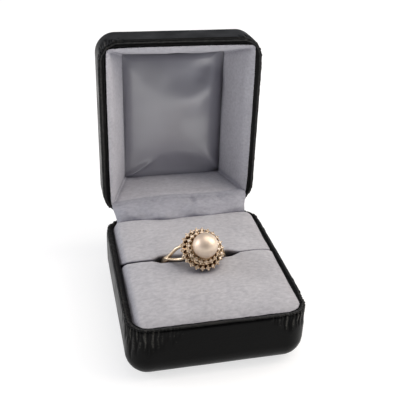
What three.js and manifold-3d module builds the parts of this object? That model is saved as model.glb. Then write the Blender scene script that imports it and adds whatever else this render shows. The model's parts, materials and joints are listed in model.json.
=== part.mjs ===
// Halo ring in a hinged ring box: a pearl ring with a two-tier halo of small stones,
// held in the slot between two velvet pads, in a leatherette box that stands open.
//
// Millimetres, +Z up. The origin is the centre of the flat underside of the box's base.
// +X is the right-hand side of the box and +Y runs towards its hinge.
//
// The base and everything in it stands still. The lid is modelled shut, on the base, and
// its group then turns it open about the hinge line.

import * as THREE from "three";
import { mergeVertices } from "three/addons/utils/BufferGeometryUtils.js";
import Module from "manifold-3d";

const wasm = await Module();
wasm.setup();

// ---------------------------------------------------------------- driving dimensions

const clearance = 0.3; // between neighbouring pieces

const box = {
  width: 48, // over the leatherette, along X
  depth: 54, // over the leatherette, along Y
  cornerRadius: 6, // seen from above
  edgeRadius: 6.1, // the puffed edge round the underside and round the lid's top
  wall: 1.2, // board with its leatherette
  baseHeight: 16.8, // underside to the base's mouth
  lidHeight: 15.6, // the lid's mouth to its outer top
  mouthGap: 0.3, // between the two mouths when the box is shut
};

const rim = {
  width: 2, // seen from above
  lip: 0.8, // how tall the rolled lip stands over the leatherette's edge
  flange: 0.5, // thickness of the part that is glued inside the wall
  reach: 3.3, // mouth to the flange's far edge
  roll: 0.3, // rounding of the lip
};

// The leatherette is gathered round each corner, in pleats that fade out down the wall.
const gathers = {
  alongWall: 5, // how far they run past the corner
  depth: 0.25,
  fullFrom: 11.5, // height in the base above which they are at their deepest
  half: 9,
  foot: 6.5, // and below which they have faded out
};

const pad = {
  halfX: 21.7,
  frontY: -24.7,
  backY: 22.6, // the hinge flap is tucked in behind this face
  edge: 15.9, // height of the pads where they meet the rim
  crown: 1.9, // how far they swell above that
  edgeSharpness: 6, // how late the swell falls off towards the rim
  roll: { depth: 1.1, width: 1.4 }, // both pads roll down into the slot
  saddle: { depth: 0.8, halfX: 9, halfY: 6 }, // the ring presses them down
  // Beside the ring the front pad bulges up along the slot, more on the right.
  bulge: { left: 0.9, right: 1.7, halfY: 6, clearOfRing: 10 },
};

// The slot between the pads is open where the ring stands in it, and nearly shut beyond.
const slot = { openHalf: 9.8, shutHalf: 13 };

const ring = {
  innerRadius: 8.5, // a medium finger
  bandThickness: 1.1,
  bandWidth: 1.8,
  splitAngle: 62, // degrees from the head to where the shank splits
  wireOverlap: 5, // degrees that the split wires run into the shank
  headAngle: 25, // degrees from the head to where the split wires reach it
  wireSpread: 1.75, // half the distance between the two wires at the head
  wireRadius: 0.52,
  lean: 39.3, // degrees that the ring leans forward in its slot
  tilt: 5, // degrees that it has slipped sideways
  slotX: -1, // where the ring's middle crosses the pads' surface
  slotY: 1.5,
  slotZ: 17.4,
  sink: 3.2, // how far the ring's centre lies under that, along the slot
};

const halo = {
  pearlRadius: 3.55,
  pearlHeight: 14, // ring's centre to pearl's centre
  outer: { stones: 22, radius: 5.25, seat: 10.2 },
  inner: { stones: 18, radius: 4.1, seat: 11.4 },
  cupHeight: 0.7,
  cupRadius: 0.56,
  cupFoot: 0.42,
  stoneHeight: 0.3,
  tableRadius: 0.3,
  cupSides: 6,
  cupSunk: 0.1, // into the seat
  plate: 0.4, // thickness of the seat
  plateShare: 0.75, // how much of a cup's radius the seat carries
  step: 0.1, // slope of the riser between the tiers
};

// The ring that the shoulders are soldered to, and the posts that carry the halo on it.
const gallery = { radius: 4.4, height: 8.95, wireRadius: 0.42, posts: 8, postRadius: 0.3 };

const hinge = {
  offset: 0.9, // hinge line to the back wall
  openAngle: 92, // degrees
  length: 34,
  barrels: 5,
  barrelRadius: 0.7,
  boreRadius: 0.45,
  pinRadius: 0.3,
  leafHeight: 4,
  leafEdge: 0.9, // hinge line to the leaf's near edge
  leafThickness: 0.2,
  wallGap: 0.05, // between the wall and the leaf
  knuckleHeight: 1.2, // the strip that joins a barrel to its leaf
  knuckleSkin: 0.12, // metal left between the strip's face and the bore
};

const lining = {
  // The opening in the velvet wall pads, at the lid's mouth and where it meets the panel.
  mouth: { halfX: 21.1, front: -24.1, back: 23.6, radius: 3.2, depth: 0.3 },
  foot: { halfX: 15.6, front: -19.5, back: 21, radius: 0.9, depth: 12.4 },
  swell: 0.5, // how far the wall pads bulge between the two
  footInset: 2.7, // outer walls to the pads' foot, clear of the lid's puffed edge
};

const panel = {
  halfX: 17.5,
  front: -21.5,
  back: 22.3,
  faceDepth: 12.8, // mouth to the satin face
  rearDepth: 14.1,
  fold: { height: 0.8, width: 2.4, length: 11 }, // one runs in from each corner
  tucked: 0.5, // how far the velvet overlaps the face
};

// The hinge flap's front face as [Y, Z] points, from its tucked end up to the lid.
const flap = {
  halfX: 20.6,
  thickness: 0.7,
  front: [[23.1, 12], [23.1, 17.4], [23.3, 18.3], [24.6, 19.5], [27.4, 21]],
};

const colours = {
  leatherette: 0x1c1c1c,
  velvet: 0xbdbabc,
  satin: 0x77757c,
  gold: 0xd0a878,
  pearl: 0xe8dcd6,
  brass: 0xb08d4f,
};

const material = (color, roughness, metalness = 0) =>
  new THREE.MeshStandardMaterial({ color, roughness, metalness });

const leatherette = material(colours.leatherette, 0.45);
const velvet = material(colours.velvet, 0.95);
const satin = material(colours.satin, 0.6);
const gold = material(colours.gold, 0.2, 1);
const pearlNacre = material(colours.pearl, 0.18);
const brass = material(colours.brass, 0.35, 1);

// ---------------------------------------------------------------- making solids

const radians = THREE.MathUtils.degToRad;
const clamp = THREE.MathUtils.clamp;

function toSolid(geometry) {
  const bare = geometry.clone();
  bare.deleteAttribute("normal");
  bare.deleteAttribute("uv");
  const merged = mergeVertices(bare, 1e-5);
  return new wasm.Manifold(
    new wasm.Mesh({
      numProp: 3,
      vertProperties: new Float32Array(merged.attributes.position.array),
      triVerts: new Uint32Array(merged.index.array),
    }),
  );
}

function fromSolid(solid) {
  const mesh = solid.getMesh();
  const geometry = new THREE.BufferGeometry();
  geometry.setAttribute("position", new THREE.BufferAttribute(mesh.vertProperties, 3));
  geometry.setIndex(new THREE.BufferAttribute(mesh.triVerts, 1));
  return geometry;
}

const join = (geometries) =>
  fromSolid(geometries.map(toSolid).reduce((whole, piece) => whole.add(piece)));

const cut = (geometry, ...tools) =>
  fromSolid(tools.map(toSolid).reduce((rest, tool) => rest.subtract(tool), toSolid(geometry)));

const common = (first, second) => fromSolid(toSolid(first).intersect(toSolid(second)));

// Skins a row of outlines that all have the same number of points, each one counter-clockwise
// seen from the end of the row. A ringed row joins its last outline to its first, and any
// other row is capped at both ends.
function loft(outlines, ringed = false) {
  const count = outlines[0].length;
  const vertices = outlines.flat(2);
  const faces = [];
  const rows = ringed ? outlines.length : outlines.length - 1;
  for (let row = 0; row < rows; row += 1) {
    const next = (row + 1) % outlines.length;
    for (let k = 0; k < count; k += 1) {
      const after = (k + 1) % count;
      const [a, b] = [row * count + k, row * count + after];
      const [c, d] = [next * count + after, next * count + k];
      faces.push(a, b, c, a, c, d);
    }
  }
  if (!ringed) {
    for (const [row, flip] of [[0, true], [outlines.length - 1, false]]) {
      const middle = vertices.length / 3;
      for (let axis = 0; axis < 3; axis += 1) {
        vertices.push(outlines[row].reduce((sum, point) => sum + point[axis], 0) / count);
      }
      for (let k = 0; k < count; k += 1) {
        const edge = [row * count + k, row * count + ((k + 1) % count)];
        faces.push(middle, ...(flip ? edge.reverse() : edge));
      }
    }
  }
  const geometry = new THREE.BufferGeometry();
  geometry.setAttribute("position", new THREE.Float32BufferAttribute(vertices, 3));
  geometry.setIndex(faces);
  return geometry;
}

// A rounded rectangle at one height, counter-clockwise from above. Extra points along the
// walls beside each corner carry the gathers: every second point is drawn in.
function roundedOutline({
  halfX, halfY, radius, z, centreY = 0, cornerSteps = 6, wallSteps = 0, gather = 0,
}) {
  const points = [];
  const place = (quarter, angle, along) => {
    const centreX = (halfX - radius) * (quarter === 0 || quarter === 3 ? 1 : -1);
    const centreV = (halfY - radius) * (quarter < 2 ? 1 : -1) + centreY;
    const reach = radius - (points.length % 2 ? gather : 0);
    points.push([
      centreX + reach * Math.cos(angle) - along * Math.sin(angle),
      centreV + reach * Math.sin(angle) + along * Math.cos(angle),
      z,
    ]);
  };
  const spacing = wallSteps ? gathers.alongWall / wallSteps : 0;
  for (let quarter = 0; quarter < 4; quarter += 1) {
    const start = (quarter * Math.PI) / 2;
    for (let k = wallSteps; k > 0; k -= 1) place(quarter, start, -k * spacing);
    for (let k = 0; k <= cornerSteps; k += 1) {
      place(quarter, start + (k / cornerSteps) * (Math.PI / 2), 0);
    }
    for (let k = 1; k <= wallSteps; k += 1) place(quarter, start + Math.PI / 2, k * spacing);
  }
  return points;
}

// An outline of the box, drawn in by a distance from its outer walls.
function boxOutline(inset, z, options = {}) {
  const smallestRadius = 0.6;
  return roundedOutline({
    halfX: box.width / 2 - inset,
    halfY: box.depth / 2 - inset,
    radius: Math.max(box.cornerRadius - inset, smallestRadius),
    z,
    ...options,
  });
}

// A solid between a flat underside and a surface that height gives over a rectangle.
function mound({ halfX, front, back, columns, rows, underside, height }) {
  const vertices = [];
  const faces = [];
  const across = columns + 1;
  for (let row = 0; row <= rows; row += 1) {
    for (let column = 0; column <= columns; column += 1) {
      const x = -halfX + (2 * halfX * column) / columns;
      const y = front + ((back - front) * row) / rows;
      vertices.push(x, y, height(x, y));
    }
  }
  for (let row = 0; row < rows; row += 1) {
    for (let column = 0; column < columns; column += 1) {
      const a = row * across + column;
      faces.push(a, a + 1, a + across + 1, a, a + across + 1, a + across);
    }
  }
  const edge = [];
  for (let column = 0; column < columns; column += 1) edge.push(column);
  for (let row = 0; row < rows; row += 1) edge.push(row * across + columns);
  for (let column = columns; column > 0; column -= 1) edge.push(rows * across + column);
  for (let row = rows; row > 0; row -= 1) edge.push(row * across);
  const below = vertices.length / 3;
  for (const top of edge) vertices.push(vertices[3 * top], vertices[3 * top + 1], underside);
  const middle = vertices.length / 3;
  vertices.push(0, (front + back) / 2, underside);
  edge.forEach((top, k) => {
    const next = (k + 1) % edge.length;
    faces.push(top, below + k, edge[next], edge[next], below + k, below + next);
    faces.push(middle, below + next, below + k);
  });
  const geometry = new THREE.BufferGeometry();
  geometry.setAttribute("position", new THREE.Float32BufferAttribute(vertices, 3));
  geometry.setIndex(faces);
  return geometry;
}

// A section given by [outward, sideways] points, carried along a path of
// { at, outward, size } stations whose outward directions stay clear of the path's own.
function sweep(path, section) {
  const outlines = path.map(({ at, outward, size = 1 }, k) => {
    const before = path[Math.max(k - 1, 0)].at;
    const after = path[Math.min(k + 1, path.length - 1)].at;
    const forward = after.clone().sub(before).normalize();
    const out = outward.clone().addScaledVector(forward, -outward.dot(forward)).normalize();
    const side = forward.clone().cross(out);
    return section.map(([u, v]) =>
      at.clone().addScaledVector(out, u * size).addScaledVector(side, v * size).toArray());
  });
  return loft(outlines);
}

function ellipse(halfHeight, halfWidth, sides) {
  return Array.from({ length: sides }, (_, k) => {
    const angle = ((k + 0.5) / sides) * 2 * Math.PI;
    return [halfHeight * Math.cos(angle), halfWidth * Math.sin(angle)];
  });
}

// A turned shape about Z from [radius, height] points that start and end on the axis, or
// that close on themselves.
function turned(profile, sides) {
  return new THREE.LatheGeometry(profile.map(([r, z]) => new THREE.Vector2(r, z)), sides)
    .rotateX(Math.PI / 2);
}

// A cylinder or tube along X.
function barrel(from, to, radius, bore = 0) {
  const shape = new THREE.Shape().absarc(0, 0, radius, 0, 2 * Math.PI);
  if (bore) shape.holes.push(new THREE.Path().absarc(0, 0, bore, 0, 2 * Math.PI));
  const roundness = 6;
  return new THREE.ExtrudeGeometry(shape, {
    depth: to - from, bevelEnabled: false, curveSegments: roundness,
  })
    .applyMatrix4(alongX)
    .translate(from, 0, 0);
}

// Turns a shape drawn in the plane of Y and Z, and extruded, so that it runs along X.
const alongX = new THREE.Matrix4().makeBasis(
  new THREE.Vector3(0, 1, 0), new THREE.Vector3(0, 0, 1), new THREE.Vector3(1, 0, 0),
);

const block = (lowX, lowY, lowZ, highX, highY, highZ) =>
  new THREE.BoxGeometry(highX - lowX, highY - lowY, highZ - lowZ)
    .translate((lowX + highX) / 2, (lowY + highY) / 2, (lowZ + highZ) / 2);

// ---------------------------------------------------------------- the leatherette halves

// [inset, height] points of the puffed edge, for a wall whose face lies so deep.
function puffedEdge(depth, steps) {
  const bend = box.edgeRadius - depth;
  return Array.from({ length: steps + 1 }, (_, k) => {
    const angle = (k / steps) * (Math.PI / 2);
    return [box.edgeRadius - bend * Math.sin(angle), box.edgeRadius - bend * Math.cos(angle)];
  });
}

// An open tray with its mouth up: the outer skin, pleated round the corners, less its hollow.
function tray(height) {
  const top = height - rim.lip - clearance;
  const pleatsFade = (z) =>
    gathers.depth * clamp((z - gathers.foot) / (gathers.fullFrom - gathers.foot), 0, 1);
  const fromTop = box.baseHeight - height; // pleats hang from the mouth in both halves
  const skin = [...puffedEdge(0, 4), [0, gathers.half], [0, gathers.fullFrom], [0, top]];
  const outer = loft(skin.map(([inset, z]) =>
    boxOutline(inset, z, { cornerSteps: 8, wallSteps: 4, gather: pleatsFade(z + fromTop) })));
  const hollow = [...puffedEdge(box.wall, 4), [box.wall, height]];
  return cut(outer, loft(hollow.map(([inset, z]) => boxOutline(inset, z))));
}

// The rolled rim: a lip on top of the wall and a flange glued inside it. Each row of the
// section is [inset, distance below the mouth].
function rimFrame(height) {
  const flangeFace = rim.width - rim.flange;
  const section = [
    [0, rim.lip],
    [0, rim.roll],
    [rim.roll, 0],
    [rim.width - rim.roll, 0],
    [rim.width, rim.roll],
    [rim.width, rim.reach],
    [flangeFace, rim.reach],
    [flangeFace, rim.lip],
  ];
  return loft(section.map(([inset, below]) => boxOutline(inset, height - below)), true);
}

// Turns a tray upside down on the plane of its mouth, for the lid.
const capsized = (geometry, height) => geometry.rotateX(Math.PI).translate(0, 0, height);

// ---------------------------------------------------------------- the ring's place

const ringCentre = new THREE.Vector3(
  ring.slotX,
  ring.slotY + ring.sink * Math.sin(radians(ring.lean)),
  ring.slotZ - ring.sink * Math.cos(radians(ring.lean)),
);

// The slot's middle plane, as Y for a height.
const slotAt = (z) => ring.slotY - (z - ring.slotZ) * Math.tan(radians(ring.lean));

// ---------------------------------------------------------------- the pads

const smooth = (value, low, high) => {
  const t = clamp((value - low) / (high - low), 0, 1);
  return t * t * (3 - 2 * t);
};

const bell = (distance, width) => Math.exp(-((distance / width) ** 2));

// Height of the velvet, crowned between the rims, rolled down into the slot and pressed
// down by the ring.
function padSurface(x, y) {
  const { edge, crown, edgeSharpness, roll, saddle } = pad;
  const halfY = (pad.backY - pad.frontY) / 2;
  const across = 1 - Math.abs(x / pad.halfX) ** edgeSharpness;
  const along = 1 - Math.abs((y - pad.frontY - halfY) / halfY) ** edgeSharpness;
  const swell = crown * Math.sqrt(Math.max(across, 0) * Math.max(along, 0));
  const press = bell(x - ring.slotX, saddle.halfX) * bell(y - ring.slotY, saddle.halfY);
  return edge + swell - roll.depth * bell(y - ring.slotY, roll.width) - saddle.depth * press;
}

// The front pad's height, with its bulge along the slot.
function frontSurface(x, y) {
  const { left, right, halfY, clearOfRing } = pad.bulge;
  const most = left + (right - left) * smooth(x, -pad.halfX, pad.halfX);
  const besideRing = 1 - bell(x - ring.slotX, clearOfRing);
  const insideRim = Math.sqrt(Math.max(1 - Math.abs(x / pad.halfX) ** pad.edgeSharpness, 0));
  return padSurface(x, y) + most * besideRing * insideRim * bell(y - ring.slotY, halfY);
}

// Everything from the slot's near face towards the front (-1) or the back (1).
function fromSlot(side) {
  const { openHalf, shutHalf } = slot;
  const end = box.width / 2 - ring.slotX;
  const halfStations = [openHalf, (openHalf + shutHalf) / 2, shutHalf, end];
  const stations = [...halfStations.map((offset) => -offset).reverse(), ...halfStations];
  const open = ring.bandWidth / 2 + clearance;
  const far = 2 * box.depth;
  const [low, high] = [-5, box.baseHeight + 8]; // past the pads on both sides
  return loft(stations.map((offset) => {
    const x = ring.slotX + offset;
    const halfGap = open - (open - clearance) * smooth(Math.abs(offset), openHalf, shutHalf);
    const reach = (-side * halfGap) / Math.cos(radians(ring.lean));
    const outline = [
      [x, slotAt(low) + reach, low],
      [x, side * far, low],
      [x, side * far, high],
      [x, slotAt(high) + reach, high],
    ];
    return side > 0 ? outline : outline.reverse();
  }));
}

function pads() {
  const cavityTop = box.baseHeight + 8; // past the velvet
  const inset = rim.width + clearance;
  const cavity = loft([
    ...puffedEdge(box.wall + clearance, 4).map(([edge, z]) => [Math.max(edge, inset), z]),
    [inset, cavityTop],
  ].map(([edge, z]) => boxOutline(edge, z)));
  const filled = (height) => common(cavity, mound({
    halfX: pad.halfX + 1,
    front: pad.frontY - 1,
    back: pad.backY,
    columns: 18,
    rows: 24,
    underside: 0,
    height,
  }));
  return {
    front: cut(filled(frontSurface), fromSlot(1)),
    rear: cut(filled(padSurface), fromSlot(-1)),
  };
}

// ---------------------------------------------------------------- the ring

// The ring stands in its own frame: the centre of the finger hole at the origin, the head
// up along Z, the finger along Y.

const ringPoint = (degrees, radius, sideways = 0) => new THREE.Vector3(
  radius * Math.sin(radians(degrees)), sideways, radius * Math.cos(radians(degrees)),
);

function shank() {
  const middle = ring.innerRadius + ring.bandThickness / 2;
  const steps = 30;
  const path = Array.from({ length: steps + 1 }, (_, k) => {
    const degrees = ring.splitAngle + ((360 - 2 * ring.splitAngle) * k) / steps;
    return { at: ringPoint(degrees, middle), outward: ringPoint(degrees, 1) };
  });
  return sweep(path, ellipse(ring.bandThickness / 2, ring.bandWidth / 2, 8));
}

// One of the four wires that the shank splits into, from the shank to the gallery.
function shoulderWire(hand, side) {
  const steps = 8;
  const start = ring.splitAngle + ring.wireOverlap;
  const low = ring.innerRadius + ring.bandThickness / 2;
  const high = halo.outer.seat;
  const path = Array.from({ length: steps + 1 }, (_, k) => {
    const t = k / steps;
    const degrees = hand * (start + (ring.headAngle - start) * t);
    const radius = low + (high - low) * smooth(t, 0.2, 1);
    const sideways = side * ring.wireSpread * smooth(t, -0.15, 0.85);
    return { at: ringPoint(degrees, radius, sideways), outward: ringPoint(degrees, 1) };
  });
  return sweep(path, ellipse(ring.wireRadius, ring.wireRadius, 6));
}

// The stepped seat under the stones, dished under the pearl.
function haloSeat() {
  const { outer, inner, cupRadius, plate, plateShare, step } = halo;
  const dish = halo.pearlRadius + clearance;
  const dished = (share) => {
    const r = share * (inner.radius - cupRadius);
    return [r, halo.pearlHeight - Math.sqrt(dish * dish - r * r)];
  };
  const below = ([r, z]) => [r, z - plate];
  const innerEdge = inner.radius + plateShare * cupRadius;
  const outerEdge = outer.radius + plateShare * cupRadius;
  return turned([
    below(dished(0)),
    below(dished(0.8)),
    below([innerEdge - plate, inner.seat]),
    below([innerEdge - step, outer.seat]),
    below([outerEdge, outer.seat]),
    [outerEdge, outer.seat],
    [innerEdge + step, outer.seat],
    [innerEdge, inner.seat],
    [inner.radius - cupRadius, inner.seat],
    dished(0.8),
    dished(0.45),
    dished(0),
  ], 28);
}

// A tapered cup with its stone: six sides, a flat table on top.
function stoneInCup() {
  const { cupHeight, cupRadius, cupFoot, cupSunk, stoneHeight, tableRadius, cupSides } = halo;
  return turned([
    [0, -cupSunk],
    [cupFoot, -cupSunk],
    [cupRadius, cupHeight],
    [tableRadius, cupHeight + stoneHeight],
    [0, cupHeight + stoneHeight],
  ], cupSides);
}

function tier({ stones, radius, seat }, phase) {
  return Array.from({ length: stones }, (_, k) => {
    const angle = ((k + phase) / stones) * 2 * Math.PI;
    return stoneInCup()
      .rotateZ(angle)
      .translate(radius * Math.cos(angle), radius * Math.sin(angle), seat);
  });
}

function galleryWithPosts() {
  const { radius, height, wireRadius, posts, postRadius } = gallery;
  const top = halo.inner.seat - halo.plate / 2;
  const wire = new THREE.TorusGeometry(radius, wireRadius, 6, 28).translate(0, 0, height);
  return [wire, ...Array.from({ length: posts }, (_, k) => {
    const angle = ((k + 0.5) / posts) * 2 * Math.PI;
    return new THREE.CylinderGeometry(postRadius, postRadius, top - height, 6)
      .rotateX(Math.PI / 2)
      .translate(radius * Math.cos(angle), radius * Math.sin(angle), (top + height) / 2);
  })];
}

function ringMount() {
  const wires = [-1, 1].flatMap((hand) => [-1, 1].map((side) => shoulderWire(hand, side)));
  return join([
    haloSeat(),
    ...galleryWithPosts(),
    ...wires,
    shank(),
    ...tier(halo.outer, 0),
    ...tier(halo.inner, 0.5),
  ]);
}

// ---------------------------------------------------------------- the lid's inside

// The velvet wall pads: outside they follow the box, inside they slope to the panel.
function liningFrame() {
  const { mouth, foot, swell, footInset } = lining;
  const opening = (share) => {
    const mix = (from, to) => from + (to - from) * share;
    const bulge = swell * Math.sin(Math.PI * share);
    const front = mix(mouth.front, foot.front) + bulge;
    const back = mix(mouth.back, foot.back) - bulge;
    return roundedOutline({
      halfX: mix(mouth.halfX, foot.halfX) - bulge,
      halfY: (back - front) / 2,
      centreY: (back + front) / 2,
      radius: mix(mouth.radius, foot.radius),
      z: mix(mouth.depth, foot.depth),
    });
  };
  const outside = rim.width + clearance;
  const chamfer = 0.3;
  return loft([
    boxOutline(outside, mouth.depth + chamfer),
    boxOutline(outside, box.lidHeight - box.edgeRadius),
    boxOutline(footInset, foot.depth),
    opening(1),
    opening(0.66),
    opening(0.33),
    opening(0),
  ], true);
}

// The satin pad at the bottom of the lid, with a soft fold running in from each corner of
// the opening. It is made face up and then turned to face the mouth.
function satinPanel() {
  const { foot } = lining;
  const { fold, tucked } = panel;
  const corners = [
    [-foot.halfX, foot.front], [foot.halfX, foot.front],
    [-foot.halfX, foot.back], [foot.halfX, foot.back],
  ];
  const middleY = (foot.front + foot.back) / 2;
  const face = (x, y) => {
    const rise = corners.reduce((sum, [cornerX, cornerY]) => {
      const inward = new THREE.Vector2(-cornerX, middleY - cornerY).normalize();
      const from = new THREE.Vector2(x - cornerX, y - cornerY);
      const along = from.dot(inward);
      const beside = from.cross(inward);
      const run = Math.exp(-(((2 * along) / fold.length - 1) ** 2));
      return sum + run * Math.exp(-((beside / fold.width) ** 2));
    }, 0);
    const inOpening = Math.abs(x) < foot.halfX - tucked
      && y > foot.front + tucked && y < foot.back - tucked;
    return -panel.faceDepth + (inOpening ? fold.height * rise : 0);
  };
  return mound({
    halfX: panel.halfX,
    front: -panel.back,
    back: -panel.front,
    columns: 14,
    rows: 18,
    underside: -panel.rearDepth,
    height: (x, y) => face(x, -y),
  }).rotateX(Math.PI);
}

// ---------------------------------------------------------------- the hinge

// One leaf with its barrels, about the hinge line, on the wall below (-1) or above (1).
function hingeLeaf(side) {
  const pitch = hinge.length / hinge.barrels;
  const wallFace = hinge.wallGap - hinge.offset;
  const between = (near, far) => (side < 0 ? [-far, -near] : [near, far]);
  const [low, high] = between(0, hinge.knuckleHeight);
  const pieces = [];
  for (let k = side < 0 ? 0 : 1; k < hinge.barrels; k += 2) {
    const from = -hinge.length / 2 + k * pitch + clearance / 2;
    const to = from + pitch - clearance;
    const knuckleFace = -hinge.boreRadius - hinge.knuckleSkin;
    pieces.push(
      barrel(from, to, hinge.barrelRadius, hinge.boreRadius),
      block(from, wallFace, low, to, knuckleFace, high),
    );
  }
  const [edge, end] = between(hinge.leafEdge, hinge.leafHeight);
  const half = hinge.length / 2;
  pieces.push(block(-half, wallFace, edge, half, wallFace + hinge.leafThickness, end));
  return join(pieces);
}

// The velvet strip that hides the hinge inside, from behind the rear pad up to the lid. Its
// rear face lies a thickness behind the front one where it hangs, and below it where it turns.
function hingeFlap() {
  const { front, thickness, halfX } = flap;
  const [tucked, ...rising] = front;
  const rear = [
    [tucked[0] + thickness, tucked[1]],
    ...rising.map(([y, z]) => [Math.max(y, tucked[0] + thickness), z - thickness]),
  ];
  const shape = new THREE.Shape([...rear, ...front.toReversed()]
    .map(([y, z]) => new THREE.Vector2(y, z)));
  return new THREE.ExtrudeGeometry(shape, { depth: 2 * halfX, bevelEnabled: false })
    .applyMatrix4(alongX)
    .translate(-halfX, 0, 0);
}

// ---------------------------------------------------------------- the assembly

function piece(name, geometry, finish) {
  const mesh = new THREE.Mesh(geometry, finish);
  mesh.name = name;
  return mesh;
}

const hingeLine = new THREE.Vector3(
  0, box.depth / 2 + hinge.offset, box.baseHeight + box.mouthGap / 2,
);

const { front: frontPad, rear: rearPad } = pads();

const base = new THREE.Group();
base.add(
  piece("base_shell", tray(box.baseHeight), leatherette),
  piece("base_rim", rimFrame(box.baseHeight), leatherette),
  piece("front_pad", frontPad, velvet),
  piece("rear_pad", rearPad, velvet),
  piece("hinge_flap", hingeFlap(), velvet),
);

const baseHinge = new THREE.Group();
baseHinge.position.copy(hingeLine);
baseHinge.add(
  piece("base_hinge_leaf", hingeLeaf(-1), brass),
  piece("hinge_pin", barrel(-hinge.length / 2, hinge.length / 2, hinge.pinRadius), brass),
);

const haloRing = new THREE.Group();
haloRing.position.copy(ringCentre);
haloRing.rotation.set(radians(ring.lean), radians(ring.tilt), 0);
haloRing.add(
  piece("ring_mount", ringMount(), gold),
  piece(
    "pearl",
    new THREE.SphereGeometry(halo.pearlRadius, 22, 14).translate(0, 0, halo.pearlHeight),
    pearlNacre,
  ),
);

// Inside the lid's group, the lid is shut: its mouth faces down at half the mouth gap.
const shutLid = new THREE.Group();
shutLid.position.set(0, -hingeLine.y, box.mouthGap / 2);
shutLid.add(
  piece("lid_shell", capsized(tray(box.lidHeight), box.lidHeight), leatherette),
  piece("lid_rim", capsized(rimFrame(box.lidHeight), box.lidHeight), leatherette),
  piece("lid_lining", liningFrame(), velvet),
  piece("lid_panel", satinPanel(), satin),
);

const lid = new THREE.Group();
lid.position.copy(hingeLine);
lid.rotation.x = -radians(hinge.openAngle);
lid.add(shutLid, piece("lid_hinge_leaf", hingeLeaf(1), brass));

const ringBox = new THREE.Group();
ringBox.add(base, baseHinge, haloRing, lid);

export default ringBox;
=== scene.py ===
# %% [markdown]
# # A pearl ring in its open box
#
# The subject is a gold ring with a pearl and a stepped halo of small stones. It leans in the
# slot between two velvet pads, in a ring box covered in black leatherette. The box's lid
# stands open on a brass hinge, padded with velvet round a satin panel.
#
# Everything is built in metres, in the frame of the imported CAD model. That model says where
# each piece is and how the lid moves, and this script gives each piece its real surface.

# %% Load the frame
import json
import math

import bpy
import numpy as np
from mathutils import Matrix, Vector, noise


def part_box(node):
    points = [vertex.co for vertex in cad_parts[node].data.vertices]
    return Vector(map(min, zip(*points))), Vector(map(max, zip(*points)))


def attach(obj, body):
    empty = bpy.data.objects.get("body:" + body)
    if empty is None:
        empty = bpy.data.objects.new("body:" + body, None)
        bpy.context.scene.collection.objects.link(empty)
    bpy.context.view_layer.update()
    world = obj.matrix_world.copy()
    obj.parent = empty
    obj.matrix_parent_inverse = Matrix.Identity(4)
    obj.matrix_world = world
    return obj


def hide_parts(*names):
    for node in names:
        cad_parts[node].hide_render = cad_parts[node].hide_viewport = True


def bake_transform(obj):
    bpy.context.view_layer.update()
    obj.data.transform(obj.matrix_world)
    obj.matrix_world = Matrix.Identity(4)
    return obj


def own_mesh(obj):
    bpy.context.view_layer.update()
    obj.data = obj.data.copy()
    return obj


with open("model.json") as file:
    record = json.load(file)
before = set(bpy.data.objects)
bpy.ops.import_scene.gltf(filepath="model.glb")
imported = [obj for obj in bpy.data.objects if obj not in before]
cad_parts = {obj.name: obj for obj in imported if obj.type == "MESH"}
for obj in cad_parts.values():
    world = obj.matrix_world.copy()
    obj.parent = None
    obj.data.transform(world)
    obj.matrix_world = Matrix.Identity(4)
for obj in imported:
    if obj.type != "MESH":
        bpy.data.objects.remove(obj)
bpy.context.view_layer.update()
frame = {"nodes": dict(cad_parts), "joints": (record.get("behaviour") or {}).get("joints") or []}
MM = 0.001

# %% [markdown]
# ## Sizes
#
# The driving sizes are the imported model's own, so a change there carries through. What the
# frame doesn't hold, such as how thick the rolled lip is, is a value in millimetres here.

# %% Sizes of the box
def measured(node):
    """The lowest and the highest corner of a node's box, in millimetres."""
    return [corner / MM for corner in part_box(node)]


hinge_joint = frame["joints"][0]
HINGE = np.array(hinge_joint["pos_m"]) / MM
OPEN_ANGLE = math.radians(hinge_joint["range_deg"][1])

BOX_HALF_X, BOX_HALF_Y, _ = measured("base_shell")[1]
BASE_HEIGHT = measured("base_rim")[1].z
LID_HEIGHT = 15.6
CORNER_RADIUS = 6.0
PUFFED_EDGE = 6.1  # radius of the soft edge between a wall and the flat underside
WALL = 1.2  # board with its leatherette
RIM_WIDTH, LIP_HEIGHT = 2.0, 0.36  # the rolled lip
FLANGE, RIM_REACH = 0.5, 3.3  # the leg inside the wall: how thick, and how far down it goes
SEAM = 0.34  # between the lip and the wall below it
GAP = 0.25  # between pieces that touch without being fixed
HALF_MOUTH_GAP = HINGE[2] - BASE_HEIGHT  # from either mouth to the plane where they meet
print("hinge line at", HINGE.round(2), "mm; the lid opens", round(math.degrees(OPEN_ANGLE)), "degrees")

# %% [markdown]
# ## Helpers
#
# Every piece here is a skin over rows of points: a tray is rounded outlines one above the
# other, a ring's band is a small section carried round a circle, and a pad is profiles side
# by side. So one helper turns rows of points into faces, and another turns points and faces
# into an object that belongs to the frame.

# %% Skins and pieces
def skin(rows, ring_rows=False, ring_columns=True, cap_first=False, cap_last=False):
    """Points and faces of a skin over rows of points, which all have the same length."""
    rows = np.asarray(rows, float)
    count, width = rows.shape[:2]
    points = list(rows.reshape(-1, 3))
    faces = []
    for row in range(count if ring_rows else count - 1):
        below, above = row * width, ((row + 1) % count) * width
        for k in range(width if ring_columns else width - 1):
            after = (k + 1) % width
            faces.append((below + k, below + after, above + after, above + k))
    for row, wanted in ((0, cap_first), (count - 1, cap_last)):
        if wanted:
            middle = len(points)
            points.append(rows[row].mean(0))
            for k in range(width):
                edge = (row * width + k, row * width + (k + 1) % width)
                faces.append((middle, *(edge if row else edge[::-1])))
    return np.array(points), faces


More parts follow.
